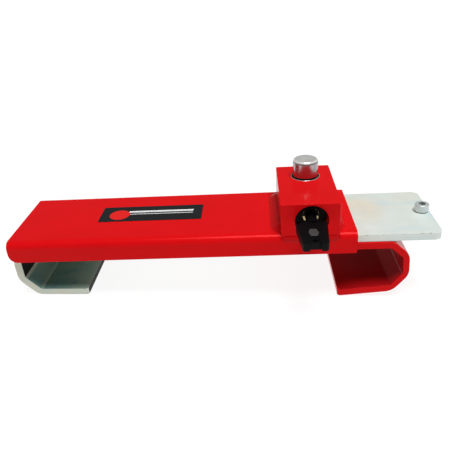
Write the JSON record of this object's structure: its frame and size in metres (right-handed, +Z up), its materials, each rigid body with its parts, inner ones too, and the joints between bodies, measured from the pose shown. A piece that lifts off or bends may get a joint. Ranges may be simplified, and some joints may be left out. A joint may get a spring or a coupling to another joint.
{
  "type": "adjustable container door rod lock",
  "caption": "Adjustable bar lock for rear door rods: hooked flat bar sliding in a red channel with a fixed hook, a welded lock block, push-down pin and keyed latch.",
  "frame": {"origin": "centre of the bounding box in plan, at the level of the lowest hook lip", "axes": "+X along the bar from the sliding hook toward the fixed hook, +Y from the key side toward the back, +Z up out of the channel's top face"},
  "size_m": [0.3936, 0.1414, 0.1164],
  "materials": {
    "red_paint": "glossy",
    "zinc_plate": "satin",
    "pin_steel": "fine turned",
    "collar_steel": "bright",
    "screw_zinc": "satin",
    "spring_steel": "satin",
    "machined_steel": "machined",
    "hardened_steel": "dark",
    "lock_brass": "satin",
    "key_steel": "satin",
    "seal_rubber": "matte",
    "black_plastic": "matte",
    "badge_grey": "satin",
    "label_black": "satin",
    "label_red": "satin"
  },
  "bodies": {
    "base": {"outer_channel": "red_paint", "lock_block": "red_paint", "block_welds": "red_paint", "fixed_hook": "red_paint", "hook_welds": "red_paint", "pin_collar": "collar_steel", "pin_wiper_seal": "seal_rubber", "pin_spring": "spring_steel", "pin_carrier": "machined_steel", "cylinder_face": "black_plastic", "cylinder_body": "lock_brass", "driver_pins": "machined_steel", "driver_springs": "spring_steel", "chamber_strip": "lock_brass", "anti_drill_pins": "hardened_steel", "cylinder_dowel": "machined_steel", "label_plate": "label_black", "label_disc": "label_red"},
    "bar": {"sliding_bar": "zinc_plate", "stop_screw": "screw_zinc"},
    "pin": {"locking_pin": "pin_steel"},
    "latch": {"latch_plate": "machined_steel"},
    "plug": {"cylinder_plug": "lock_brass", "plug_cam": "machined_steel", "key_pins": "lock_brass"},
    "key": {"key_blade": "key_steel", "key_bow": "black_plastic", "key_badge": "badge_grey"}
  },
  "joints": [
    {"name": "bar_slide", "type": "slide", "parent": "base", "child": "bar", "axis": [1, 0, 0], "range_m": [-0.034, 0.119]},
    {"name": "pin_slide", "type": "slide", "parent": "base", "child": "pin", "axis": [0, 0, -1], "range_m": [0, 0.016], "stiffness_N_per_m": 300, "springref_m": -0.01, "deforming": ["pin_spring"]},
    {"name": "plug_turn", "type": "hinge", "parent": "base", "child": "plug", "pos_m": [0.08085, -0.01525, 0.08288], "axis": [0, -1, 0], "range_deg": [0, 90]},
    {"name": "key_slide", "type": "slide", "parent": "plug", "child": "key", "axis": [0, -1, 0], "range_m": [0, 0.03]},
    {"name": "latch_slide", "type": "slide", "parent": "base", "child": "latch", "axis": [1, 0, 0], "range_m": [0, 0.004]}
  ],
  "couplings": [
    {"joint": "plug_turn", "follows": "latch_slide", "rad_per_m": 392.6}
  ]
}
